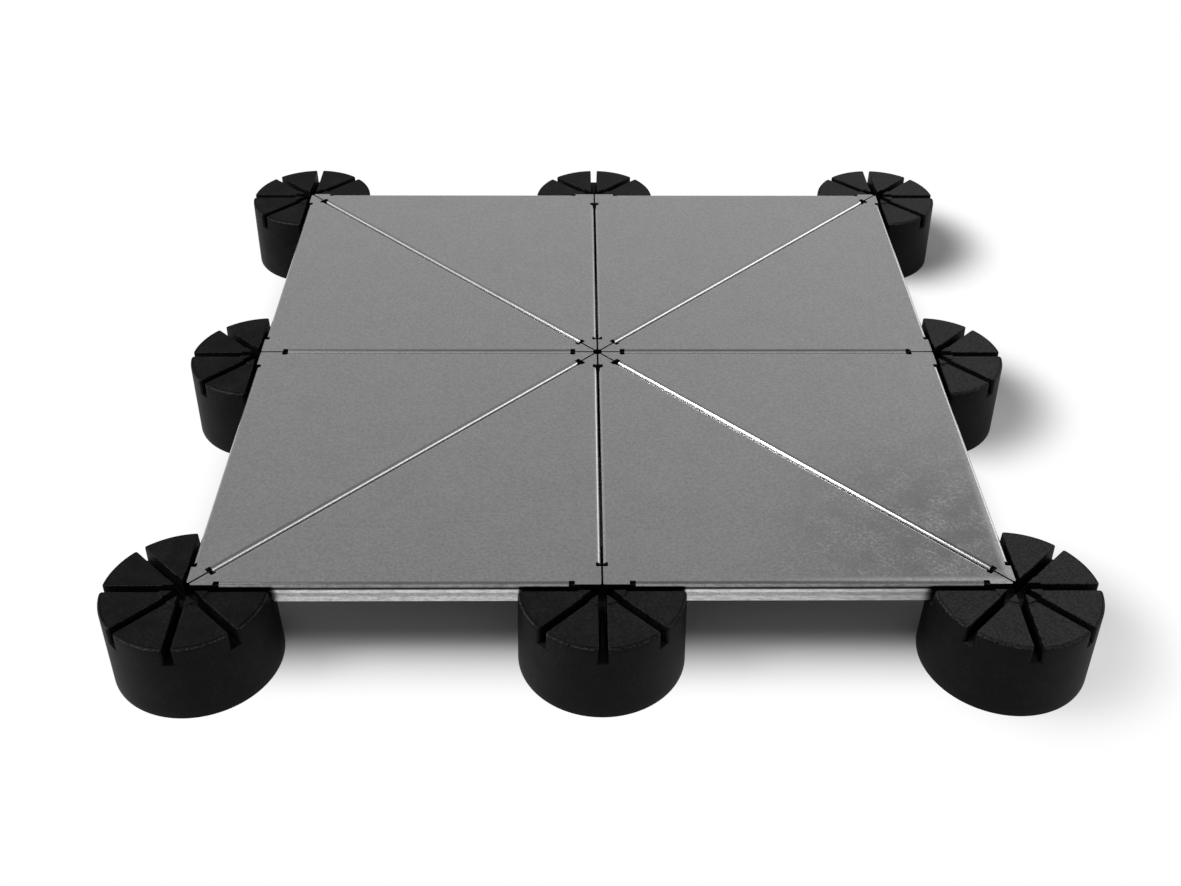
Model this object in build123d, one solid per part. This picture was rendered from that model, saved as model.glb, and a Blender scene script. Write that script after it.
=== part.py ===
from build123d import *
from math import sqrt, tan, radians
import os

# A low raised floor module. Eight folded sheet-steel triangles make one square, and nine
# slotted rubber pedestals on a square grid carry their corners. Millimetres, +Z up; the
# origin is on the floor under the middle pedestal.

# Driving dimensions: the grid
bay = 300.0                    # from one pedestal to the next
rows = 3                       # pedestals along each side

# Driving dimensions: the pedestal
pedestal_height = 69.5         # from the floor to the pads that carry the tiles
base_diameter = 125.0
draft_angle = 1.25             # the mould's draft, on the outer wall and in the slots
rim_bevel = 1.8                # round the crown
pad_diameter = 34.8            # raised pads round the middle
pad_rise = 1.3                 # from the crown to the pads
mouth_bevel = 1.6              # upright, where a slot breaks out of the wall

# Driving dimensions: the tile
sheet = 1.5                    # steel thickness
bend_inside = 2.1              # inner radius of the folds
flange_depth = 16.4            # from the walking surface to the flange's lower edge
relief_width = 4.4             # notch at each end of a flange
relief_depth = 3.7
sharp_angle = 45.0             # at both ends of the long side
tip_cut = 4.0                  # blunt end of the sharp corners, from the grid point
corner_radius = 1.0            # rounding of the square corner

# Driving dimensions: the fit of the tiles in the pedestals
seam_gap = 1.5                 # between the flanges of two neighbouring tiles
side_clearance = 1.0           # between a flange and the slot's wall
floor_clearance = 1.2          # between a flange and the slot's floor
pad_clearance = 2.4            # between the pads and the notches

# What follows from them
pad_radius = pad_diameter / 2
pad_top = pedestal_height
crown_top = pad_top - pad_rise
walking_surface = pad_top + sheet
slot_floor = walking_surface - flange_depth - floor_clearance
draft_slope = tan(radians(draft_angle))
slot_half_width = seam_gap / 2 + sheet + side_clearance    # at the crown
slot_floor_half_width = slot_half_width - (crown_top - slot_floor) * draft_slope
bend_outside = bend_inside + sheet
tile_edge = seam_gap / 2                                   # from the grid line
relief_middle = pad_radius + pad_clearance + relief_width / 2
flange_start = relief_middle + relief_width / 2            # from the grid point
overlap = 1.0                                              # how far a cutter runs past


def wall_radius(z):
    """Outer radius of the drafted pedestal at a height."""
    return base_diameter / 2 - z * draft_slope


def blank():
    """The moulding before its slots: a drafted wall, a bevelled rim and the raised middle."""
    foot = (base_diameter / 2, 0)
    bevel_start = (wall_radius(crown_top - rim_bevel), crown_top - rim_bevel)
    # A straight two-point Bezier: the wall it sweeps takes far fewer facets than a cone.
    wall = Bezier(foot, bevel_start)
    top_and_base = Polyline(
        bevel_start,
        (wall_radius(crown_top) - rim_bevel, crown_top),
        (pad_radius, crown_top),
        (pad_radius, pad_top),
        (0, pad_top),
        (0, 0),
        foot,
    )
    return revolve(Plane.XZ * make_face([wall, top_and_base]), Axis.Z)


def slot_cutter():
    """A slot right across the pedestal: narrower at its floor and flared at both mouths."""
    mouth = wall_radius(slot_floor)
    straight_end = (mouth - mouth_bevel, slot_floor_half_width)
    flare_end = (mouth + overlap, slot_floor_half_width + mouth_bevel + overlap)
    around = ((1, 1), (-1, 1), (-1, -1), (1, -1))
    outline = []
    for i, (x_side, y_side) in enumerate(around):
        order = (flare_end, straight_end) if i % 2 == 0 else (straight_end, flare_end)
        outline += [(x_side * x, y_side * y) for x, y in order]
    height = pad_top - slot_floor + overlap
    return extrude(Pos(0, 0, slot_floor) * Polygon(*outline, align=None), height, taper=-draft_angle)


def pedestal():
    """One pedestal: the slots run along the grid lines and along both diagonals."""
    body = blank()
    for turn in (0, 45, 90, 135):
        body -= Rot(0, 0, turn) * slot_cutter()
    return body


class GridEdge:
    """One side of the tile's grid triangle, with its own frame: x along it, y into the tile."""

    def __init__(self, start, end):
        along = Vector(*end) - Vector(*start)
        self.length = along.length
        self.frame = Plane(origin=start, x_dir=along, z_dir=(0, 0, 1))

    def reliefs(self):
        """The square notches that part the fold from the flat ends."""
        middle = (relief_depth - overlap) / 2
        notch = Pos(0, middle) * Rectangle(relief_width, relief_depth + overlap)
        places = [Pos(x, tile_edge) for x in (relief_middle, self.length - relief_middle)]
        return [self.frame * place * notch for place in places]

    def fold_strip(self):
        """The strip of flat sheet that the fold takes up, between the notches."""
        length = self.length - 2 * flange_start
        strip = Rectangle(length, 2 * bend_outside)
        return self.frame * Pos(self.length / 2, tile_edge) * strip

    def flange(self):
        """The fold and the flange under it, carried along the edge from notch to notch."""
        start = self.frame.origin + self.frame.x_dir * flange_start
        across = Plane(origin=start, x_dir=self.frame.y_dir, z_dir=self.frame.x_dir)
        return extrude(across * self.flange_section(), self.length - 2 * flange_start)

    def flange_section(self):
        """Section across the edge: x into the tile, y up. A quarter bend above a flat leg."""
        centre_x = tile_edge + bend_outside
        centre_y = walking_surface - bend_outside
        leg_height = flange_depth - bend_outside
        leg_middle = (tile_edge + sheet / 2, centre_y - leg_height / 2)
        ring = Circle(bend_outside) - Circle(bend_inside)
        quarter = Pos(-bend_outside / 2, bend_outside / 2) * Rectangle(bend_outside, bend_outside)
        bend = Pos(centre_x, centre_y) * (ring & quarter)
        return bend + Pos(*leg_middle) * Rectangle(sheet, leg_height)


def tile_outline():
    """The flat outline: a right-angled triangle inside the grid lines, with blunt sharp ends."""
    hypotenuse_edge = bay - tile_edge * (1 + sqrt(2))
    outline = Polygon(
        (tile_edge, tile_edge),
        (hypotenuse_edge, tile_edge),
        (tile_edge, hypotenuse_edge),
        align=None,
    )
    square_corner = outline.vertices().sort_by_distance((0, 0, 0))[0]
    outline = fillet(square_corner, corner_radius)
    for point, bisector in (((bay, 0), -sharp_angle / 2), ((0, bay), 90 + sharp_angle / 2)):
        outline -= Pos(*point) * Rot(0, 0, bisector) * Rectangle(2 * tip_cut, 2 * tip_cut)
    return outline


def tile():
    """One tile, its square corner at the origin and its short sides along +X and +Y."""
    corners = ((0, 0), (bay, 0), (0, bay))
    edges = [GridEdge(corners[i], corners[(i + 1) % 3]) for i in range(3)]
    outline = tile_outline()
    for edge in edges:
        outline -= edge.fold_strip()
        for notch in edge.reliefs():
            outline -= notch
    body = extrude(Pos(0, 0, pad_top) * outline, sheet)
    for edge in edges:
        body += edge.flange()
    return body


def save(shape, name):
    shape.label = name
    export_step(shape, f"parts/{name}.step")


def save_pedestals():
    row_names = ("front", "middle", "back")
    column_names = ("left", "middle", "right")
    model = pedestal()
    half_span = bay * (rows - 1) / 2
    for j, row in enumerate(row_names):
        for i, column in enumerate(column_names):
            place = Pos(i * bay - half_span, j * bay - half_span, 0)
            centre = row == column == "middle"
            save(place * model, "pedestal_centre" if centre else f"pedestal_{row}_{column}")


def save_tiles():
    """Two tiles share each middle pedestal of the outer sides, either side of a seam."""
    model = tile()
    sides = {
        "front": (Pos(0, -bay), 0, ("right", "left")),
        "right": (Pos(bay, 0), 90, ("back", "front")),
        "back": (Pos(0, bay), 180, ("left", "right")),
        "left": (Pos(-bay, 0), 270, ("front", "back")),
    }
    for side, (place, turn, ends) in sides.items():
        for quarter, end in enumerate(ends):
            save(place * Rot(0, 0, turn + 90 * quarter) * model, f"tile_{side}_{end}")


os.makedirs("parts", exist_ok=True)
save_pedestals()
save_tiles()
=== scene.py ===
import math

import bmesh
import bpy
import numpy as np
from mathutils import Matrix, Vector


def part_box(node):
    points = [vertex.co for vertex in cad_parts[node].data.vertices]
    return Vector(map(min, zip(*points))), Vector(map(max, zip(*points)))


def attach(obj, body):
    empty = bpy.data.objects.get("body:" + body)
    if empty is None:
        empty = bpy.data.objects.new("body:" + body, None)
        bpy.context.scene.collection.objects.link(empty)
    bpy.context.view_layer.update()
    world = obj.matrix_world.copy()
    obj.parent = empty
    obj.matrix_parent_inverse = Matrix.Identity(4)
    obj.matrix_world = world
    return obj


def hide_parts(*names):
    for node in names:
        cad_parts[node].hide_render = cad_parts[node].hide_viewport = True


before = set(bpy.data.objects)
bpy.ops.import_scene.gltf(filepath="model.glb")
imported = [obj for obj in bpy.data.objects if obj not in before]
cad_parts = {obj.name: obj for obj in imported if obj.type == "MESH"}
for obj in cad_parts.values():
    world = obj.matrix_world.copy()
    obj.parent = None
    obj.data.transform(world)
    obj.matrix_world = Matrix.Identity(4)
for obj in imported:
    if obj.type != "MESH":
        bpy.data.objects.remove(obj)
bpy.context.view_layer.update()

# A low raised floor module: nine slotted rubber pedestals under eight folded steel tiles.
# Shapes are worked out in millimetres and go into the meshes in metres.

mm = 0.001
bodyName = "root"
weldDistance = 2e-6                     # metres
creaseAngle = 40                        # degrees; sharper edges stay sharp


def boxInMm(node):
    low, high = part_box(node)
    return np.array(low) / mm, np.array(high) / mm


pedestalNodes = sorted(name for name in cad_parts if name.startswith("pedestal"))
tileNodes = sorted(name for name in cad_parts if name.startswith("tile"))
pedestalLow, pedestalHigh = boxInMm("pedestal_centre")
cornerHigh = boxInMm("pedestal_back_right")[1]
tileLow, tileHigh = boxInMm("tile_back_right")

baseRadius = (pedestalHigh[0] - pedestalLow[0]) / 2
padTop = pedestalHigh[2]
bay = cornerHigh[0] - baseRadius        # from one pedestal to the next
tileEdge = tileLow[0]                   # from the grid line to the flange's face
walkingSurface = tileHigh[2]
flangeBottom = tileLow[2]
print(f"frame: bay {bay:.1f} mm, pads at {padTop:.1f} mm, floor at {walkingSurface:.1f} mm")


def gridFaces(grid, start, closed):
    # one quad for each cell of a grid of points; closed joins the last column to the first
    rows, columns = grid.shape[:2]
    here = start + np.arange(rows * columns).reshape(rows, columns)
    beside = np.roll(here, -1, axis=1)
    if not closed:
        here, beside = here[:, :-1], beside[:, :-1]
    return np.stack([here[:-1], beside[:-1], beside[1:], here[1:]], axis=-1).reshape(-1, 4)


def weldedMesh(name, patches, polygons=()):
    # patches are grids of points with a closed flag and polygons are single loops of points;
    # points that fall on each other are merged, and every face is turned outwards
    points, faces, count = [], [], 0
    for grid, closed in patches:
        points.append(grid.reshape(-1, 3))
        faces += gridFaces(grid, count, closed).tolist()
        count += len(points[-1])
    for loop in polygons:
        points.append(loop)
        faces.append(list(range(count, count + len(loop))))
        count += len(loop)
    mesh = bpy.data.meshes.new(name)
    mesh.from_pydata((np.concatenate(points) * mm).tolist(), [], faces)
    work = bmesh.new()
    work.from_mesh(mesh)
    bmesh.ops.remove_doubles(work, verts=work.verts, dist=weldDistance)
    bmesh.ops.recalc_face_normals(work, faces=work.faces)
    work.to_mesh(mesh)
    work.free()
    return mesh


def turned(points, angle):
    # the points turned about the upright axis
    cosine, sine = math.cos(angle), math.sin(angle)
    spin = np.array([[cosine, -sine, 0], [sine, cosine, 0], [0, 0, 1]])
    return points @ spin.T


def polar(radius, angle, height):
    # points from radius, angle and height, each an array or one number
    radius, angle, height = np.broadcast_arrays(radius, angle, height)
    return np.stack([radius * np.cos(angle), radius * np.sin(angle), height], axis=-1)


def addPiece(name, mesh, material, node):
    piece = bpy.data.objects.new(name, mesh)
    bpy.context.scene.collection.objects.link(piece)
    mesh.materials.append(material)
    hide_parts(node)
    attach(piece, bodyName)
    return piece


def linear(hexColour):
    # an sRGB hex value as linear red, green, blue and alpha
    parts = [int(hexColour[i:i + 2], 16) / 255 for i in (1, 3, 5)]
    return [c / 12.92 if c <= 0.04045 else ((c + 0.055) / 1.055) ** 2.4 for c in parts] + [1.0]


def addNode(tree, kind, settings=None, values=None, links=None):
    # a node with its own settings, its sockets' values and the outputs that its sockets join
    node = tree.nodes.new(kind)
    for name, value in (settings or {}).items():
        setattr(node, name, value)
    for socket, value in (values or {}).items():
        node.inputs[socket].default_value = value
    for socket, source in (links or {}).items():
        tree.links.new(source, node.inputs[socket])
    return node


def emptyMaterial(name):
    material = bpy.data.materials.new(name)
    material.use_nodes = True
    material.node_tree.nodes.clear()
    return material, material.node_tree


def perMetre(sizeInMm):
    # a texture's scale from the size of its pattern
    return 1 / (sizeInMm * mm)


def spread(source, result=(0.0, 1.0)):
    # what a Map Range node takes: a stretch of its input and the stretch that this becomes
    return {"From Min": source[0], "From Max": source[1], "To Min": result[0], "To Max": result[1]}


smoothly = {"interpolation_type": "SMOOTHSTEP"}


zincSheet = {
    "colour": "#adadad",
    "darkColour": "#8f8f8f",
    "grain": 2.2,                       # mm; the real zinc grain is finer, drawn coarse to show
    "grainHeight": 0.003,
    "grainSpread": (0.3, 0.7),          # the stretch of the noise from dark to pale
    "grainShare": 0.7,                  # how much of the pale grey comes from the grain
    "mottle": 34.0,
    "mottleShare": 0.3,
    "waviness": 160.0,
    "wavinessHeight": 0.03,
    "roughness": (0.19, 0.25),
    "roughnessSpread": (0.2, 0.8),
    "uprightSpread": (0.92, 0.62),      # the upward part of the normal, from level to upright
}


def zincGreys(tree, place):
    # two greys, mixed by a fine grain and by broad, faint blotches
    look = zincSheet
    grain = addNode(tree, "ShaderNodeTexNoise", values={
        "Scale": perMetre(look["grain"]), "Detail": 3.0, "Roughness": 0.6}, links={"Vector": place})
    mottle = addNode(tree, "ShaderNodeTexNoise", values={
        "Scale": perMetre(look["mottle"]), "Detail": 4.0, "Roughness": 0.55},
        links={"Vector": place})
    fineShare = addNode(tree, "ShaderNodeMapRange",
                        values=spread(look["grainSpread"], (0.0, look["grainShare"])),
                        links={"Value": grain.outputs["Fac"]})
    share = addNode(tree, "ShaderNodeMath", {"operation": "MULTIPLY_ADD", "use_clamp": True},
                    {1: look["mottleShare"]},
                    {0: mottle.outputs["Fac"], 2: fineShare.outputs["Result"]})
    zinc = addNode(tree, "ShaderNodeMix", {"data_type": "RGBA"},
                   {6: linear(look["darkColour"]), 7: linear(look["colour"])},
                   {0: share.outputs[0]})
    return zinc, grain, mottle


wornCorner = {
    "place": (0.27, -0.27),             # metres; it has been walked on and slid about
    "reach": (0.19, 0.02),              # metres from there, where wear starts and where it is full
    "scuffColour": "#dcdcdc",
    "strokeAngles": (-32, -58),         # degrees
    "strokeLength": 24.0,               # mm, as are all sizes of patterns
    "strokeWidth": 1.6,
    "strokeSpread": (0.73, 0.80),
    "strokeMost": 0.9,
    "fleck": 2.2,
    "fleckSpread": (0.45, 0.7),
    "fleckMost": 0.6,
    "patch": 24.0,
    "patchSpread": (0.34, 0.64),
    "patchLeast": 0.25,
    "rubbedStrip": (10.0, 4.5),         # from the grid line
    "rubbedSpread": (0.35, 0.65),
    "rubbedShare": (0.25, 0.8),
    "dullColour": "#828282",
    "dullSpread": (0.35, 0.65),
    "dullShare": (1.0, 0.7),
}


def scratches(tree, place):
    # short strokes in two directions, from a noise drawn out along each
    look = wornCorner
    marks = None
    for degrees in look["strokeAngles"]:
        drawnOut = addNode(tree, "ShaderNodeMapping", {"vector_type": "TEXTURE"}, {
            "Rotation": (0, 0, math.radians(degrees)),
            "Scale": (look["strokeLength"] * mm, look["strokeWidth"] * mm, 1.0)},
            {"Vector": place})
        streak = addNode(tree, "ShaderNodeTexNoise", values={"Scale": 1.0, "Detail": 1.0},
                         links={"Vector": drawnOut.outputs[0]})
        stroke = addNode(tree, "ShaderNodeMapRange", smoothly,
                         spread(look["strokeSpread"], (0.0, look["strokeMost"])),
                         {"Value": streak.outputs["Fac"]})
        joined = {0: stroke.outputs["Result"]} if marks is None else {
            0: stroke.outputs["Result"], 1: marks.outputs[0]}
        marks = addNode(tree, "ShaderNodeMath", {"operation": "MAXIMUM"}, {1: 0.0}, joined)
    return marks


def wornZinc(tree, place, zinc, upright, outermost):
    # At the worn corner: strokes, flecks where a fine noise peaks, thinned out in patches, and a
    # rubbed strip along the outer folds, all on slightly darker metal. Upright faces have none.
    look = wornCorner
    fromCorner = addNode(tree, "ShaderNodeVectorMath", {"operation": "DISTANCE"},
                         {1: (*look["place"], walkingSurface * mm)}, {0: place})
    near = addNode(tree, "ShaderNodeMapRange", smoothly, spread(look["reach"]),
                   {"Value": fromCorner.outputs["Value"]})
    patch = addNode(tree, "ShaderNodeTexNoise", values={
        "Scale": perMetre(look["patch"]), "Detail": 3.0}, links={"Vector": place})
    patchy = addNode(tree, "ShaderNodeMapRange", smoothly,
                     spread(look["patchSpread"], (look["patchLeast"], 1.0)),
                     {"Value": patch.outputs["Fac"]})
    marks = scratches(tree, place)
    speck = addNode(tree, "ShaderNodeTexNoise", values={
        "Scale": perMetre(look["fleck"]), "Detail": 5.0, "Roughness": 0.85},
        links={"Vector": place})
    fleck = addNode(tree, "ShaderNodeMapRange", smoothly,
                    spread(look["fleckSpread"], (0.0, look["fleckMost"])),
                    {"Value": speck.outputs["Fac"]})
    flecked = addNode(tree, "ShaderNodeMath", {"operation": "MULTIPLY"}, links={
        0: fleck.outputs["Result"], 1: patchy.outputs["Result"]})
    marks = addNode(tree, "ShaderNodeMath", {"operation": "MAXIMUM"}, links={
        0: marks.outputs[0], 1: flecked.outputs[0]})
    inner, outer = look["rubbedStrip"]
    strip = addNode(tree, "ShaderNodeMapRange", smoothly,
                    spread(((bay - inner) * mm, (bay - outer) * mm)),
                    {"Value": outermost.outputs[0]})
    rubbed = addNode(tree, "ShaderNodeMapRange",
                     values=spread(look["rubbedSpread"], look["rubbedShare"]),
                     links={"Value": speck.outputs["Fac"]})
    rubbed = addNode(tree, "ShaderNodeMath", {"operation": "MULTIPLY"}, links={
        0: rubbed.outputs["Result"], 1: strip.outputs["Result"]})
    marks = addNode(tree, "ShaderNodeMath", {"operation": "MAXIMUM"}, links={
        0: marks.outputs[0], 1: rubbed.outputs[0]})
    marks = addNode(tree, "ShaderNodeMath", {"operation": "SUBTRACT"}, links={
        0: marks.outputs[0], 1: upright.outputs["Result"]})
    wear = addNode(tree, "ShaderNodeMath", {"operation": "MULTIPLY", "use_clamp": True}, links={
        0: marks.outputs[0], 1: near.outputs["Result"]})
    dulled = addNode(tree, "ShaderNodeMapRange",
                     values=spread(look["dullSpread"], look["dullShare"]),
                     links={"Value": patch.outputs["Fac"]})
    dulled = addNode(tree, "ShaderNodeMath", {"operation": "MULTIPLY"}, links={
        0: dulled.outputs["Result"], 1: near.outputs["Result"]})
    ground = addNode(tree, "ShaderNodeMix", {"data_type": "RGBA"}, {7: linear(look["dullColour"])},
                     {0: dulled.outputs[0], 6: zinc.outputs[2]})
    return addNode(tree, "ShaderNodeMix", {"data_type": "RGBA"}, {7: linear(look["scuffColour"])},
                   {0: wear.outputs[0], 6: ground.outputs[2]})


flangeFace = {
    "paintedReflectionBands": [                      # mm down from the walking surface, and the tone there of the painted reflection bands
        (1.6, "#e8e8e8"), (3.2, "#303030"), (4.6, "#303030"), (5.8, "#f2f2f2"), (7.4, "#f2f2f2"),
        (8.6, "#bababa"), (10.6, "#bababa"), (12.2, "#dedede")],
    "outerPaintedGain": 2.05,                # painted reflection: how much paler than the sheet, from the bend down
    "hiddenPaintedGain": 1.88,               # the same painted brightening on the flanges between two tiles
    "rimWidth": 7.25,                   # what counts as the outer folds, from the grid line in
    "dirt": (7.0, 1.6),                 # length and width of a smear
    "dirtSpread": (0.4, 0.62),
    "dirtShare": 0.3,
}


def flangeTone(tree, place, outermost):
    # Upright faces are painted paler than the sheet, as painted reflection. On the outer ones
    # painted light and dark reflection bands run down from the bend, and handling leaves short
    # level smears.
    look = flangeFace
    onRim = addNode(tree, "ShaderNodeMath", {"operation": "GREATER_THAN"},
                    {1: (bay - look["rimWidth"]) * mm}, {0: outermost.outputs[0]})
    height = addNode(tree, "ShaderNodeSeparateXYZ", links={0: place}).outputs["Z"]
    deepest = look["paintedReflectionBands"][-1][0]
    down = addNode(tree, "ShaderNodeMapRange",
                   values=spread((walkingSurface * mm, (walkingSurface - deepest) * mm)),
                   links={"Value": height})
    # painted reflection: light and dark bands by depth below the walking surface
    paintedBands = addNode(tree, "ShaderNodeValToRGB", links={"Fac": down.outputs["Result"]})
    ramp = paintedBands.color_ramp            # a new ramp has two stops
    for i, (depth, tone) in enumerate(look["paintedReflectionBands"]):
        stop = ramp.elements[i] if i < 2 else ramp.elements.new(depth / deepest)
        stop.position, stop.color = depth / deepest, linear(tone)
    dirtLong, dirtWide = look["dirt"]
    level = addNode(tree, "ShaderNodeMapping", {"vector_type": "TEXTURE"}, {
        "Scale": (dirtLong * mm, dirtLong * mm, dirtWide * mm)}, {"Vector": place})
    smear = addNode(tree, "ShaderNodeTexNoise", values={
        "Scale": 1.0, "Detail": 5.0, "Roughness": 0.75}, links={"Vector": level.outputs[0]})
    bright = look["outerPaintedGain"]
    smear = addNode(tree, "ShaderNodeMapRange", smoothly,
                    spread(look["dirtSpread"], (bright, bright * (1 - look["dirtShare"]))),
                    {"Value": smear.outputs["Fac"]})
    smeared = addNode(tree, "ShaderNodeVectorMath", {"operation": "SCALE"}, links={
        0: paintedBands.outputs["Color"], "Scale": smear.outputs["Result"]})
    return addNode(tree, "ShaderNodeMix", {"data_type": "RGBA"},
                   {6: [look["hiddenPaintedGain"]] * 3 + [1.0]},
                   {0: onRim.outputs[0], 7: smeared.outputs[0]})


def zincCoatedSteel():
    # Continuously galvanised, skin-passed sheet: a matt, fine-grained grey with faint blotches
    # and, near one corner, bright flecks and scratches. It reads as a soft mirror, bright where
    # a fold turns to a light and dark where it turns away. Its upright faces carry painted
    # reflection: paler, with painted light and dark bands down from the bend.
    look = zincSheet
    material, tree = emptyMaterial("zincCoatedSteel")
    place = addNode(tree, "ShaderNodeTexCoord").outputs["Object"]
    zinc, grain, mottle = zincGreys(tree, place)

    normal = addNode(tree, "ShaderNodeNewGeometry").outputs["Normal"]
    upward = addNode(tree, "ShaderNodeSeparateXYZ", links={0: normal}).outputs["Z"]
    upright = addNode(tree, "ShaderNodeMapRange", values=spread(look["uprightSpread"]),
                      links={"Value": upward})
    sideways = addNode(tree, "ShaderNodeVectorMath", {"operation": "ABSOLUTE"}, links={0: place})
    sideways = addNode(tree, "ShaderNodeSeparateXYZ", links={0: sideways.outputs[0]}).outputs
    outermost = addNode(tree, "ShaderNodeMath", {"operation": "MAXIMUM"}, links={
        0: sideways["X"], 1: sideways["Y"]})

    colour = wornZinc(tree, place, zinc, upright, outermost)
    flange = flangeTone(tree, place, outermost)
    # upright faces take the flange's painted reflection: paler, with painted light and dark bands
    colour = addNode(tree, "ShaderNodeMix", {"data_type": "RGBA", "blend_type": "MULTIPLY"}, links={
        0: upright.outputs["Result"], 6: colour.outputs[2], 7: flange.outputs[2]})

    roughness = addNode(tree, "ShaderNodeMapRange",
                        values=spread(look["roughnessSpread"], look["roughness"]),
                        links={"Value": mottle.outputs["Fac"]})
    wave = addNode(tree, "ShaderNodeTexNoise", values={
        "Scale": perMetre(look["waviness"]), "Detail": 1.0}, links={"Vector": place})
    waveBump = addNode(tree, "ShaderNodeBump", values={
        "Strength": 1.0, "Distance": look["wavinessHeight"] * mm},
        links={"Height": wave.outputs["Fac"]})
    grainBump = addNode(tree, "ShaderNodeBump", values={
        "Strength": 1.0, "Distance": look["grainHeight"] * mm},
        links={"Height": grain.outputs["Fac"], "Normal": waveBump.outputs[0]})
    shader = addNode(tree, "ShaderNodeBsdfPrincipled", values={"Metallic": 1.0}, links={
        "Base Color": colour.outputs[2], "Roughness": roughness.outputs[0],
        "Normal": grainBump.outputs[0]})
    addNode(tree, "ShaderNodeOutputMaterial", links={"Surface": shader.outputs[0]})
    return material


rubberLook = {
    "colour": "#050505",
    "dustColour": "#1e1e1e",
    "cloud": 20.0,                      # mm
    "cloudSpread": (0.35, 0.75),
    "pit": 1.6,                         # mm; the mould's skin is finer, drawn coarse to show
    "pitHeight": 0.1,
    "pitStrength": 0.7,
    "pitSpread": (0.4, 0.64),
    "dustAndSheenColour": "#3a3a3a",
    "dustAndSheenToRight": (-0.12, 0.33),           # metres, where dust and painted sheen start from the left and where they are full
    "dustAndSheenMost": 0.9,
    "dustAndSheenSpread": (0.3, 0.7),
    "dustAndSheenLeast": 0.25,
    "levelSpread": (0.7, 0.95),         # the upward part of the normal, from bare to dusty and painted with sheen
    "rimWearAndHighlightColour": "#3c3c3c",
    "rimAbove": 60.0,
    "leanSpread": (0.1, 0.35),
    "roughness": 0.55,
    "refraction": 1.52,
    "specular": 0.06,
}


def mouldedRubber():
    # Compression-moulded recycled rubber: near black and dull, with a pitted skin from the
    # mould, a little grey dust, a painted sheen that pales level faces and grows to the right,
    # and greyed top edges, partly rubbed and partly a painted highlight.
    look = rubberLook
    material, tree = emptyMaterial("mouldedRubber")
    place = addNode(tree, "ShaderNodeTexCoord").outputs["Object"]
    cloud = addNode(tree, "ShaderNodeTexNoise", values={
        "Scale": perMetre(look["cloud"]), "Detail": 5.0, "Roughness": 0.6}, links={"Vector": place})
    pits = addNode(tree, "ShaderNodeTexNoise", values={
        "Scale": perMetre(look["pit"]), "Detail": 2.0, "Roughness": 0.7}, links={"Vector": place})
    clouded = addNode(tree, "ShaderNodeMapRange", values=spread(look["cloudSpread"]),
                      links={"Value": cloud.outputs["Fac"]})
    pitted = addNode(tree, "ShaderNodeMapRange", values=spread(look["pitSpread"]),
                     links={"Value": pits.outputs["Fac"]})
    dust = addNode(tree, "ShaderNodeMath", {"operation": "MULTIPLY"}, links={
        0: clouded.outputs["Result"], 1: pitted.outputs["Result"]})
    colour = addNode(tree, "ShaderNodeMix", {"data_type": "RGBA"},
                     {6: linear(look["colour"]), 7: linear(look["dustColour"])},
                     {0: dust.outputs[0]})

    normal = addNode(tree, "ShaderNodeNewGeometry").outputs["Normal"]
    upward = addNode(tree, "ShaderNodeSeparateXYZ", links={0: normal}).outputs["Z"]
    level = addNode(tree, "ShaderNodeMapRange", values=spread(look["levelSpread"]),
                    links={"Value": upward})
    # dust and painted sheen on level faces, paler towards the right
    across = addNode(tree, "ShaderNodeSeparateXYZ", links={0: place}).outputs["X"]
    paleToRight = addNode(tree, "ShaderNodeMapRange",
                    values=spread(look["dustAndSheenToRight"], (0.0, look["dustAndSheenMost"])),
                    links={"Value": across})
    dustAndSheen = addNode(tree, "ShaderNodeMapRange",
                      values=spread(look["dustAndSheenSpread"], (look["dustAndSheenLeast"], 1.0)),
                      links={"Value": pits.outputs["Fac"]})
    for part in (level, paleToRight):
        dustAndSheen = addNode(tree, "ShaderNodeMath", {"operation": "MULTIPLY"}, links={
            0: dustAndSheen.outputs[0], 1: part.outputs["Result"]})
    colour = addNode(tree, "ShaderNodeMix", {"data_type": "RGBA"},
                     {7: linear(look["dustAndSheenColour"])},
                     {0: dustAndSheen.outputs[0], 6: colour.outputs[2]})

    # the edges are where the face leans between upright and level, above the slots' floor;
    # their pale grey is partly rubbing and partly a painted highlight
    lean = addNode(tree, "ShaderNodeMath", {"operation": "PINGPONG"}, {1: 0.5}, {0: upward})
    leaning = addNode(tree, "ShaderNodeMapRange", smoothly, spread(look["leanSpread"]),
                      {"Value": lean.outputs[0]})
    height = addNode(tree, "ShaderNodeSeparateXYZ", links={0: place}).outputs["Z"]
    above = addNode(tree, "ShaderNodeMath", {"operation": "GREATER_THAN"},
                    {1: look["rimAbove"] * mm}, {0: height})
    # rubbed is wear plus a painted highlight along the rounded top edges
    rubbed = addNode(tree, "ShaderNodeMath", {"operation": "MULTIPLY"}, links={
        0: leaning.outputs["Result"], 1: above.outputs[0]})
    rubbed = addNode(tree, "ShaderNodeMath", {"operation": "MULTIPLY"}, links={
        0: rubbed.outputs[0], 1: pitted.outputs["Result"]})
    colour = addNode(tree, "ShaderNodeMix", {"data_type": "RGBA"}, {7: linear(look["rimWearAndHighlightColour"])},
                     {0: rubbed.outputs[0], 6: colour.outputs[2]})
    bump = addNode(tree, "ShaderNodeBump", values={
        "Strength": look["pitStrength"], "Distance": look["pitHeight"] * mm},
        links={"Height": pits.outputs["Fac"]})
    shader = addNode(tree, "ShaderNodeBsdfPrincipled", values={
        "Roughness": look["roughness"], "IOR": look["refraction"],
        "Specular IOR Level": look["specular"]},
        links={"Base Color": colour.outputs[2], "Normal": bump.outputs[0]})
    addNode(tree, "ShaderNodeOutputMaterial", links={"Surface": shader.outputs[0]})
    return material


steel = zincCoatedSteel()
rubber = mouldedRubber()
print("materials made: zinc-coated steel and moulded rubber")


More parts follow.
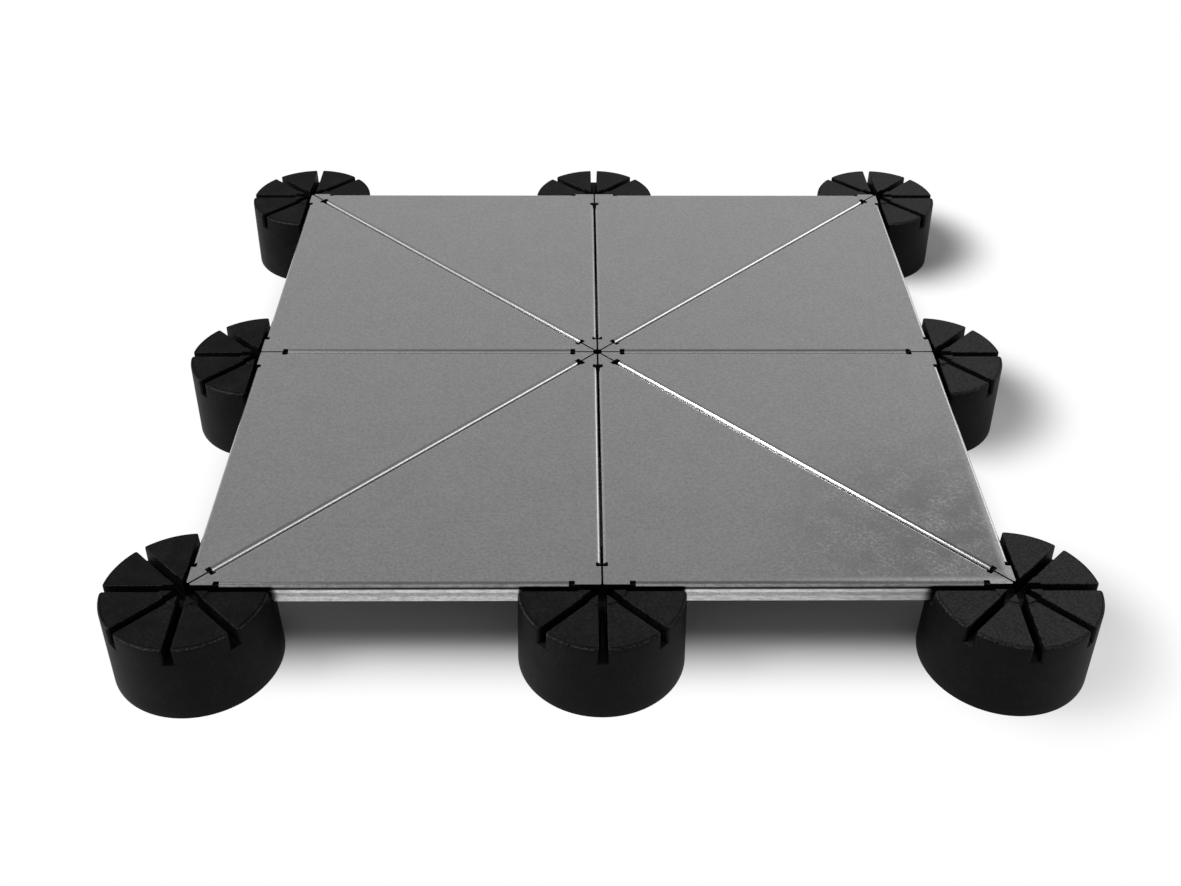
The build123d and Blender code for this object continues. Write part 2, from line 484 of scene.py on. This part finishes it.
pedestal = {                            # millimetres and degrees
    "draft": 1.25,
    "slotHalfWidth": 3.25,              # at the crown
    "slotDepth": 14.8,                  # below the crown
    "padRadius": 17.4,
    "padRise": 1.3,
    "rimRound": 2.0,
    "slotRound": 0.6,
    "padRound": 0.35,
    "mouthRound": 2.6,
    "tipRound": 0.8,
    "floorRound": 0.5,
    "footRound": 0.8,
    "footFlat": 0.3,                    # flat ring inside the foot's rounding
    "flatRing": 0.12,                   # and inside the rounding of the crown
    "slots": 8,
    "padStations": (11, 13.5, 16),      # from the middle, along a slot's side
    # how far beyond the pad's radius, and how far above the pad's top and then the crown
    "padEdge": ((-0.42, 0), (-0.2, -0.05), (-0.06, -0.18), (0, -0.42)),
    "padFoot": ((0.04, 0.3), (0.14, 0.1), (0.34, 0)),
    "crownStations": (20, 24, 29, 34, 39, 44, 49, 53, 56.5),
    "wallStations": (8, 20, 32, 44),    # heights below the slots
    "tipPoints": 6,
    "mouthPoints": 13,                  # odd, so that one is in the middle
    "arcPoints": 16,                    # along half the outer arc
    "gapPoints": 7,                     # across a slot's mouth
    "filletTurns": (0, 30, 60, 90),
    "wallShares": (0.3, 0.65, 1.0),     # up a block's wall, from the fillet
    "roundTurns": (18, 36, 54, 72, 90),
    "starShares": (0, 0.5, 0.98, 1),    # out across the slots' floor
    "footTurns": (0, 22.5, 45, 67.5, 90),
}
draftSlope = math.tan(math.radians(pedestal["draft"]))
crownTop = padTop - pedestal["padRise"]
slotFloor = crownTop - pedestal["slotDepth"]
floorHalfWidth = pedestal["slotHalfWidth"] - pedestal["slotDepth"] * draftSlope
halfWedge = math.pi / pedestal["slots"]
mouthRadius = baseRadius - slotFloor * draftSlope       # of the wall at the slots' floor


def wedgeOutline():
    # Half the plan outline of one of the eight blocks at the slots' floor, its middle line along
    # x: the round tip, the straight slot side, the round mouth corner and half the outer arc.
    # Each point has a direction into the block, a rounding, a height and its share of slot side.
    # The last two results are the positions of the mouth corner's middle and end in these lists.
    tip, mouth = pedestal["tipRound"], pedestal["mouthRound"]
    along = np.array([math.cos(halfWedge), -math.sin(halfWedge)])
    inside = np.array([math.sin(halfWedge), math.cos(halfWedge)])
    tipCentre = np.array([(floorHalfWidth + tip) / math.sin(halfWedge), 0])
    mouthAlong = math.sqrt((mouthRadius - mouth) ** 2 - (floorHalfWidth + mouth) ** 2)
    mouthCentre = mouthAlong * along + (floorHalfWidth + mouth) * inside
    edgeAngle = -(math.pi / 2 + halfWedge)
    arcAngle = math.atan2(mouthCentre[1], mouthCentre[0])

    tipTurn = np.linspace(-math.pi, edgeAngle, pedestal["tipPoints"])
    tipOut = np.stack([np.cos(tipTurn), np.sin(tipTurn)], axis=-1)
    pad, crown, step = padTop, crownTop, pedestal["padRadius"]
    stations = np.array(
        [(r, pad) for r in pedestal["padStations"]]
        + [(step + out, pad + rise) for out, rise in pedestal["padEdge"]]
        + [(step + out, crown + rise) for out, rise in pedestal["padFoot"]]
        + [(r, crown) for r in pedestal["crownStations"]])
    sideAlong = np.sqrt(stations[:, 0] ** 2 - floorHalfWidth ** 2)
    side = sideAlong[:, None] * along + floorHalfWidth * inside
    mouthShare = np.linspace(0, 1, pedestal["mouthPoints"])
    mouthTurn = edgeAngle + mouthShare * (arcAngle - edgeAngle)
    mouthOut = np.stack([np.cos(mouthTurn), np.sin(mouthTurn)], axis=-1)
    arcTurn = np.linspace(arcAngle, 0, pedestal["arcPoints"])[1:]
    arcOut = np.stack([np.cos(arcTurn), np.sin(arcTurn)], axis=-1)

    plan = np.concatenate([tipCentre + tip * tipOut, side,
                           mouthCentre + mouth * mouthOut, mouthRadius * arcOut])
    inward = np.concatenate([-tipOut, np.broadcast_to(inside, side.shape), -mouthOut, -arcOut])
    eased = mouthShare ** 2 * (3 - 2 * mouthShare)
    slotSide = np.concatenate([np.ones(len(tipOut) + len(side)), 1 - eased, np.zeros(len(arcOut))])
    onPad = np.concatenate([np.ones(len(tipOut)), stations[:, 1] > crown,
                            np.zeros(len(mouthOut) + len(arcOut))])
    rounding = pedestal["rimRound"] + slotSide * (pedestal["slotRound"] - pedestal["rimRound"])
    rounding = np.where(onPad > 0, pedestal["padRound"], rounding)
    top = np.concatenate([np.full(len(tipOut), pad), stations[:, 1],
                          np.full(len(mouthOut) + len(arcOut), crown)])
    middleOfMouth = len(tipOut) + len(side) + len(mouthOut) // 2
    endOfMouth = len(tipOut) + len(side) + len(mouthOut) - 1
    return plan, inward, rounding, top, slotSide, middleOfMouth, endOfMouth


def mirroredLoop(half, flipY=False):
    # the half outline's values, then the same for the other half on the way back
    other = half[-2:0:-1].copy()
    if flipY:
        other[:, 1] *= -1
    return np.concatenate([half, other])


def pedestalMesh(name, centre):
    # Each block is its outline carried up a profile: a fillet at the slot's floor, the drafted
    # wall, the rounding and a narrow flat ring; arcs from side to side then close its top.
    # The slots' floor is a star. The outer circle, carried down, round the foot and in to the
    # middle, makes the lower wall and the underside.
    plan, inward, rounding, top, slotSide, middleOfMouth, endOfMouth = wedgeOutline()
    plan, inward = mirroredLoop(plan, True), mirroredLoop(inward, True)
    rounding, top, slotSide = (mirroredLoop(values) for values in (rounding, top, slotSide))
    around = len(plan)

    fillet = pedestal["floorRound"]
    wallTop = top - rounding
    rows = []
    for turn in np.radians(pedestal["filletTurns"]):
        height = np.full(around, slotFloor + fillet * (1 - math.cos(turn)))
        rows.append((height, -fillet * (1 - math.sin(turn)) * slotSide))
    for share in pedestal["wallShares"]:
        rows.append((slotFloor + fillet + share * (wallTop - slotFloor - fillet), 0))
    for turn in np.radians(pedestal["roundTurns"]):
        rows.append((wallTop + rounding * math.sin(turn), rounding * (1 - math.cos(turn))))
    rows.append((top, rounding + pedestal["flatRing"]))
    block = []
    for height, offset in rows:
        drafted = draftSlope * (np.minimum(height, wallTop) - slotFloor)
        place = plan + inward * np.reshape(drafted + offset, (-1, 1))
        block.append(np.column_stack([place, height]))
    block = np.array(block)

    ring = block[-1]
    ringRadius = np.hypot(ring[:, 0], ring[:, 1])[:middleOfMouth + 1]
    ringAngle = np.arctan2(ring[:, 1], ring[:, 0])[:middleOfMouth + 1]
    across = around - 2 * middleOfMouth
    sweep = np.linspace(1, -1, across + 1)
    cover = polar(ringRadius[:, None], ringAngle[:, None] * sweep, top[:middleOfMouth + 1, None])
    cover = np.concatenate([cover, ring[None, middleOfMouth:around - middleOfMouth + 1]])

    wedgeAngles = halfWedge * (2 * np.arange(pedestal["slots"]) + 1)
    patches = [(turned(block, angle), True) for angle in wedgeAngles]
    patches += [(turned(cover, angle), False) for angle in wedgeAngles]

    base = block[0]
    inner = np.concatenate([base[endOfMouth::-1], base[:around - endOfMouth - 1:-1]])
    outer = base[endOfMouth:around - endOfMouth + 1]
    arcAngle = math.atan2(base[endOfMouth, 1], base[endOfMouth, 0])
    gap = np.linspace(-arcAngle, 2 * halfWedge + arcAngle, pedestal["gapPoints"])[1:-1]
    gap = polar(mouthRadius, gap, slotFloor)
    star = np.concatenate([turned(np.concatenate([inner, gap]), a) for a in wedgeAngles])
    middle = np.array([0, 0, slotFloor])
    patches.append((np.array([middle + share * (star - middle)
                              for share in pedestal["starShares"]]), True))

    circle = np.concatenate([turned(np.concatenate([outer, gap]), a) for a in wedgeAngles])
    circleAngle = np.arctan2(circle[:, 1], circle[:, 0])
    foot = pedestal["footRound"]
    underside = [(r, 0) for r in (0, baseRadius / 2, baseRadius - foot - pedestal["footFlat"])]
    footRows = [(baseRadius - foot * draftSlope - foot * (1 - math.sin(turn)),
                 foot * (1 - math.cos(turn))) for turn in np.radians(pedestal["footTurns"])]
    wallRows = [(baseRadius - z * draftSlope, z) for z in (*pedestal["wallStations"], slotFloor)]
    profile = underside + footRows + wallRows
    patches.append((np.array([polar(r, circleAngle, z) for r, z in profile]), True))

    patches = [(grid + np.array([centre[0], centre[1], 0]), closed) for grid, closed in patches]
    mesh = weldedMesh(name, patches)
    mesh.shade_smooth()
    mesh.set_sharp_from_angle(angle=math.radians(creaseAngle))
    return mesh


for node in pedestalNodes:
    low, high = boxInMm(node)
    skin = pedestalMesh(node + "_skin", (low + high) / 2)
    addPiece("moulded_" + node, skin, rubber, node)
print(f"{len(pedestalNodes)} pedestals moulded")


tile = {                                # millimetres
    "sheet": 1.5,
    "bendInside": 2.1,
    "reliefWidth": 4.4,
    "reliefDepth": 3.7,
    "reliefMiddle": 22.0,               # from the grid point
    "reliefRound": 0.5,
    "tipCut": 4.0,
    "cornerRound": 1.0,
    "flatMargin": 0.3,                  # flat strip beside a fold
    "softEdge": 0.15,
    "lengthwise": 14,                   # columns along a flange
    "bendPoints": 13,
    "legPoints": 5,                     # down a flange, from the bend to its edge
    "notchPoints": 5,                   # round each inner corner of a notch
    "cornerPoints": 6,                  # round the square corner, with its ends
}


def foldProfile():
    # across a fold: a narrow flat strip, a quarter bend and the flange's face down to its edge,
    # as distance from the grid line and height
    radius = tile["bendInside"] + tile["sheet"]
    start = tileEdge + radius
    turn = np.radians(np.linspace(0, 90, tile["bendPoints"]))
    bend = np.column_stack([start - radius * np.sin(turn),
                            walkingSurface - radius * (1 - np.cos(turn))])
    leg = np.linspace(walkingSurface - radius, flangeBottom, tile["legPoints"])[1:]
    leg = np.column_stack([np.full(len(leg), tileEdge), leg])
    return np.concatenate([[(start + tile["flatMargin"], walkingSurface)], bend, leg])


def reliefOutline():
    # half of an edge's plan line, from before the notch to where the flange starts: along the
    # edge, round the square notch and back to the flat strip beside the fold
    middle, half, soft = tile["reliefMiddle"], tile["reliefWidth"] / 2, tile["reliefRound"]
    depth = tileEdge + tile["reliefDepth"]
    turn = np.radians(np.linspace(0, 90, tile["notchPoints"]))
    first = np.column_stack([middle - half + soft * (1 - np.cos(turn)),
                             depth - soft * (1 - np.sin(turn))])
    second = np.column_stack([middle + half - soft * (1 - np.sin(turn)),
                              depth - soft * (1 - np.cos(turn))])
    return np.concatenate([[(middle - half, tileEdge)], first, second])


def tileMesh(name, corner, turn):
    # The walking face is one flat outline, and each flange is its fold's profile carried along
    # the edge from notch to notch.
    corners = np.array([(0, 0), (bay, 0), (0, bay)], float)
    profile = foldProfile()
    flangeStart = tile["reliefMiddle"] + tile["reliefWidth"] / 2
    sharp = math.pi / 8                 # half the angle at the long side's ends
    cutHalf = (tile["tipCut"] * math.sin(sharp) - tileEdge) / math.cos(sharp)
    tipAlong = tile["tipCut"] * math.cos(sharp) + cutHalf * math.sin(sharp)
    squareAlong = tileEdge + tile["cornerRound"]
    ends = [(squareAlong, tipAlong), (tipAlong, tipAlong), (tipAlong, squareAlong)]
    outline, patches = [], []
    for i in range(3):
        start, end = corners[i], corners[(i + 1) % 3]
        length = np.linalg.norm(end - start)
        along = (end - start) / length
        inside = np.array([-along[1], along[0]])
        relief = reliefOutline()
        mirrored = relief[::-1] * [-1, 1] + [length, 0]
        columns = np.linspace(flangeStart, length - flangeStart, tile["lengthwise"])
        strip = np.column_stack([columns, np.full(len(columns), profile[0, 0])])
        line = np.concatenate([[(ends[i][0], tileEdge)], relief, strip, mirrored,
                               [(length - ends[i][1], tileEdge)]])
        outline.append(start + line[:, :1] * along + line[:, 1:] * inside)
        place = start + columns[:, None] * along
        flange = np.array([np.column_stack([place + w * inside, np.full(len(columns), z)])
                           for w, z in profile])
        patches.append((flange, False))
    turns = np.radians(np.linspace(180, 270, tile["cornerPoints"])[1:-1])
    rounding = squareAlong + tile["cornerRound"] * np.column_stack([np.cos(turns), np.sin(turns)])
    outline = np.concatenate(outline + [rounding])
    face = np.column_stack([outline, np.full(len(outline), walkingSurface)])
    shift = np.array([corner[0], corner[1], 0])
    patches = [(turned(grid, turn) + shift, closed) for grid, closed in patches]
    mesh = weldedMesh(name, patches, [turned(face, turn) + shift])
    mesh.shade_smooth()
    return mesh


def tilePlacing(node):
    # the grid point under the tile's square corner and the turn that brings the tile there
    sides = ["front", "right", "back", "left"]
    side, end = node.split("_")[1:]
    k = sides.index(side)
    outward = [(0, -1), (1, 0), (0, 1), (-1, 0)][k]
    quarter = 0 if end == sides[(k + 1) % 4] else 1
    return bay * np.array(outward), math.radians(90 * (k + quarter))


for node in tileNodes:
    sheet = tileMesh(node + "_sheet", *tilePlacing(node))
    piece = addPiece("folded_" + node, sheet, steel, node)
    wall = piece.modifiers.new("sheetThickness", "SOLIDIFY")
    wall.thickness = tile["sheet"] * mm
    wall.offset = -1
    wall.use_even_offset = True
    soften = piece.modifiers.new("cutEdges", "BEVEL")
    soften.width = tile["softEdge"] * mm
    soften.segments = 2
    soften.limit_method = "ANGLE"
    soften.angle_limit = math.radians(creaseAngle)
    soften.harden_normals = True
print(f"{len(tileNodes)} tiles folded")


floorLook = {                           # metres
    "size": 16.0,
    "underHalf": 0.272,                 # the square under the tiles that keeps its shadow
    "underFade": 0.075,
    "besideX": 0.335,                   # so do rounds beside the right-hand pedestals
    "besideBack": 0.022,                # how far those rounds lie behind the pedestals' middles
    "besideReach": (0.05, 0.12),
    "besideRows": (-bay * mm, bay * mm / 3),    # from the front row to behind the middle one
    "besideWhite": (0.62, 0.06),        # the share of the shadow that is lost in each
    "shadowEnd": (0.13, 0.2),           # no shadow further from the square than this
    "colour": "#acacac",
}


def whiteFloor():
    # A matt white floor that keeps the soft shadow under the tiles and beside the right-hand
    # pedestals. Elsewhere, what the camera and the metal see of it is plain white.
    look = floorLook
    material, tree = emptyMaterial("whiteFloor")
    place = addNode(tree, "ShaderNodeTexCoord").outputs["Object"]
    beyond = addNode(tree, "ShaderNodeVectorMath", {"operation": "ABSOLUTE"}, links={0: place})
    beyond = addNode(tree, "ShaderNodeVectorMath", {"operation": "SUBTRACT"},
                     {1: (look["underHalf"], look["underHalf"], 1.0)}, {0: beyond.outputs[0]})
    beyond = addNode(tree, "ShaderNodeVectorMath", {"operation": "MAXIMUM"}, {1: (0, 0, 0)},
                     {0: beyond.outputs[0]})
    beyond = addNode(tree, "ShaderNodeVectorMath", {"operation": "LENGTH"},
                     links={0: beyond.outputs[0]})
    outside = addNode(tree, "ShaderNodeMapRange", smoothly, spread((0.0, look["underFade"])),
                      {"Value": beyond.outputs["Value"]})

    # y folded into the distance from the nearest row of pedestals
    parts = addNode(tree, "ShaderNodeSeparateXYZ", links={0: place}).outputs
    fromRow = addNode(tree, "ShaderNodeMath", {"operation": "SUBTRACT"}, {1: look["besideBack"]},
                      {0: parts["Y"]})
    fromRow = addNode(tree, "ShaderNodeMath", {"operation": "PINGPONG"}, {1: bay * mm / 2},
                      {0: fromRow.outputs[0]})
    fromRound = addNode(tree, "ShaderNodeCombineXYZ", links={
        "X": parts["X"], "Y": fromRow.outputs[0]})
    fromRound = addNode(tree, "ShaderNodeVectorMath", {"operation": "DISTANCE"},
                        {1: (look["besideX"], 0, 0)}, {0: fromRound.outputs[0]})
    least = addNode(tree, "ShaderNodeMapRange",
                    values=spread(look["besideRows"], look["besideWhite"]),
                    links={"Value": parts["Y"]})
    aside = addNode(tree, "ShaderNodeMapRange", smoothly, spread(look["besideReach"]),
                    {"Value": fromRound.outputs["Value"], "To Min": least.outputs["Result"]})
    plain = addNode(tree, "ShaderNodeMath", {"operation": "MINIMUM"}, links={
        0: outside.outputs["Result"], 1: aside.outputs["Result"]})
    away = addNode(tree, "ShaderNodeMapRange", smoothly, spread(look["shadowEnd"]),
                   {"Value": beyond.outputs["Value"]})
    plain = addNode(tree, "ShaderNodeMath", {"operation": "MAXIMUM"}, links={
        0: plain.outputs[0], 1: away.outputs["Result"]})

    rays = addNode(tree, "ShaderNodeLightPath").outputs
    seen = addNode(tree, "ShaderNodeMath", {"operation": "MAXIMUM"}, links={
        0: rays["Is Camera Ray"], 1: rays["Is Glossy Ray"]})
    seen = addNode(tree, "ShaderNodeMath", {"operation": "MAXIMUM"}, links={
        0: seen.outputs[0], 1: rays["Is Transmission Ray"]})
    share = addNode(tree, "ShaderNodeMath", {"operation": "MULTIPLY"}, links={
        0: plain.outputs[0], 1: seen.outputs[0]})
    matt = addNode(tree, "ShaderNodeBsdfDiffuse", values={"Color": linear(look["colour"])})
    white = addNode(tree, "ShaderNodeEmission", values={"Strength": 1.0})
    surface = addNode(tree, "ShaderNodeMixShader", links={
        0: share.outputs[0], 1: matt.outputs[0], 2: white.outputs[0]})
    addNode(tree, "ShaderNodeOutputMaterial", links={"Surface": surface.outputs[0]})
    return material


half = floorLook["size"] / 2
floorMesh = bpy.data.meshes.new("floor")
floorMesh.from_pydata([(-half, -half, 0), (half, -half, 0), (half, half, 0), (-half, half, 0)],
                      [], [(0, 1, 2, 3)])
floorMesh.materials.append(whiteFloor())
floor = bpy.data.objects.new("floor", floorMesh)
bpy.context.scene.collection.objects.link(floor)

room = {                                # brightness, and the part of a direction where it changes
    "backWall": (0.95, 0.71),           # low down and higher up
    "wallSpread": (0.45, 0.7),          # of straight up
    "front": 0.68,                      # share of that in front
    "frontSpread": (0.0, 0.6),          # of straight back
    "toRight": 0.18,                    # how much brighter to the right
    "horizon": 0.55,                    # share close to the floor
    "horizonSpread": (0.02, 0.16),      # of straight up, as is the next
    "ceiling": 0.6,                     # and overhead
    "ceilingSpread": (0.7, 0.95),
}


def studioWorld():
    # A room with pale walls, brightest behind, a darker ceiling and a dark line low down; the
    # camera sees plain white.
    world = bpy.data.worlds.new("studio")
    world.use_nodes = True
    tree = world.node_tree
    tree.nodes.clear()
    direction = addNode(tree, "ShaderNodeTexCoord").outputs["Generated"]
    parts = addNode(tree, "ShaderNodeSeparateXYZ", links={0: direction}).outputs
    walls = addNode(tree, "ShaderNodeMapRange",
                    values=spread(room["wallSpread"], room["backWall"]),
                    links={"Value": parts["Z"]})
    facing = addNode(tree, "ShaderNodeMapRange", smoothly,
                     spread(room["frontSpread"], (room["front"], 1.0)), {"Value": parts["Y"]})
    walls = addNode(tree, "ShaderNodeMath", {"operation": "MULTIPLY"}, links={
        0: walls.outputs["Result"], 1: facing.outputs["Result"]})
    aside = addNode(tree, "ShaderNodeMath", {"operation": "MULTIPLY_ADD"},
                    {1: room["toRight"], 2: 1.0}, {0: parts["X"]})
    walls = addNode(tree, "ShaderNodeMath", {"operation": "MULTIPLY"}, links={
        0: walls.outputs[0], 1: aside.outputs[0]})
    low = addNode(tree, "ShaderNodeMapRange", smoothly,
                  spread(room["horizonSpread"], (room["horizon"], 1.0)), {"Value": parts["Z"]})
    high = addNode(tree, "ShaderNodeMapRange", smoothly,
                   spread(room["ceilingSpread"], (1.0, room["ceiling"])), {"Value": parts["Z"]})
    strength = addNode(tree, "ShaderNodeMath", {"operation": "MULTIPLY"}, links={
        0: walls.outputs[0], 1: low.outputs["Result"]})
    strength = addNode(tree, "ShaderNodeMath", {"operation": "MULTIPLY"}, links={
        0: strength.outputs[0], 1: high.outputs["Result"]})
    light = addNode(tree, "ShaderNodeBackground", links={"Strength": strength.outputs[0]})
    white = addNode(tree, "ShaderNodeBackground", values={"Color": (1, 1, 1, 1), "Strength": 1.0})
    rays = addNode(tree, "ShaderNodeLightPath").outputs
    surface = addNode(tree, "ShaderNodeMixShader", links={
        0: rays["Is Camera Ray"], 1: light.outputs[0], 2: white.outputs[0]})
    addNode(tree, "ShaderNodeOutputWorld", links={"Surface": surface.outputs[0]})
    return world


bpy.context.scene.world = studioWorld()

softboxes = {                           # metres and watts; a card only shows in the gloss
    "left": {"place": (-1.8, -0.2, 0.82), "size": (2.4, 0.36), "power": 3.1, "card": False},
    "right": {"place": (1.8, -0.3, 0.82), "size": (3.0, 0.5), "power": 9, "card": True},
    "rightBack": {"place": (1.4, 1.45, 0.55), "size": (0.9, 0.7), "power": 2.4, "card": True},
    "key": {"place": (-1.2, -0.3, 1.35), "size": (0.6, 0.6), "power": 23, "card": False},
}
for name, box in softboxes.items():
    lamp = bpy.data.lights.new(name, "AREA")
    lamp.shape = "RECTANGLE"
    lamp.size, lamp.size_y = box["size"]
    lamp.energy = box["power"]
    lampObject = bpy.data.objects.new(name, lamp)
    lampObject.location = box["place"]
    lampObject.rotation_euler = (-Vector(box["place"])).to_track_quat("-Z", "Y").to_euler()
    lampObject.visible_diffuse = not box["card"]
    bpy.context.scene.collection.objects.link(lampObject)
print("floor, world and softboxes placed")

cameraView = {                          # millimetres
    "place": (-17.47, -1019.74, 756.88),
    "pitchDown": 37.722,                # degrees
    "yaw": 0.6597,                      # to the right of straight back
    "roll": 0.354,
    "focalLength": 41.926,
    "sensorWidth": 36.0,
}
pitch, yaw, roll = (math.radians(cameraView[key]) for key in ("pitchDown", "yaw", "roll"))
levelAhead = Vector((math.sin(yaw), math.cos(yaw), 0))
ahead = levelAhead * math.cos(pitch) - Vector((0, 0, math.sin(pitch)))
levelRight = Vector((math.cos(yaw), -math.sin(yaw), 0))
levelUp = levelRight.cross(ahead)
right = levelRight * math.cos(roll) + levelUp * math.sin(roll)
up = levelUp * math.cos(roll) - levelRight * math.sin(roll)
cameraData = bpy.data.cameras.new("camera")
cameraData.sensor_fit = "HORIZONTAL"
cameraData.sensor_width = cameraView["sensorWidth"]
cameraData.lens = cameraView["focalLength"]
camera = bpy.data.objects.new("camera", cameraData)
camera.matrix_world = Matrix.Translation(Vector(cameraView["place"]) * mm) @ Matrix(
    (right, up, -ahead)).transposed().to_4x4()
bpy.context.scene.collection.objects.link(camera)
bpy.context.scene.camera = camera
bpy.context.scene.view_settings.view_transform = "Standard"
print("camera placed")
